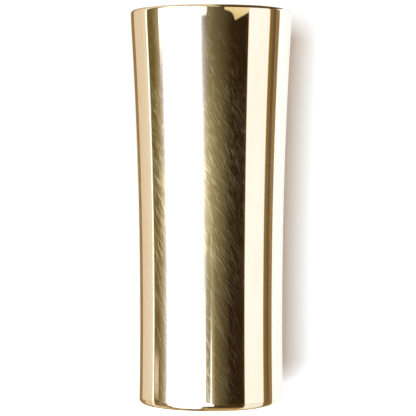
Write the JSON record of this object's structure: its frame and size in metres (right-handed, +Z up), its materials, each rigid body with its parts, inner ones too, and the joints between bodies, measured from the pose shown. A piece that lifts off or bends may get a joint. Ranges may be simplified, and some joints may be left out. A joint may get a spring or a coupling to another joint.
{
  "type": "guitar slide",
  "caption": "Polished brass guitar slide: a heavy open tube worn on a finger, with a waisted outer wall that flares toward one end.",
  "frame": {"origin": "centre of the narrow end's face, which the slide stands on", "axes": "+Z up along the tube's axis, toward the flared end; the tube is round, so X and Y are any two directions across it"},
  "size_m": [0.0286, 0.0286, 0.069],
  "materials": {
    "brass": "polished"
  },
  "bodies": {
    "root": {"slide_tube": "brass"}
  },
  "joints": []
}
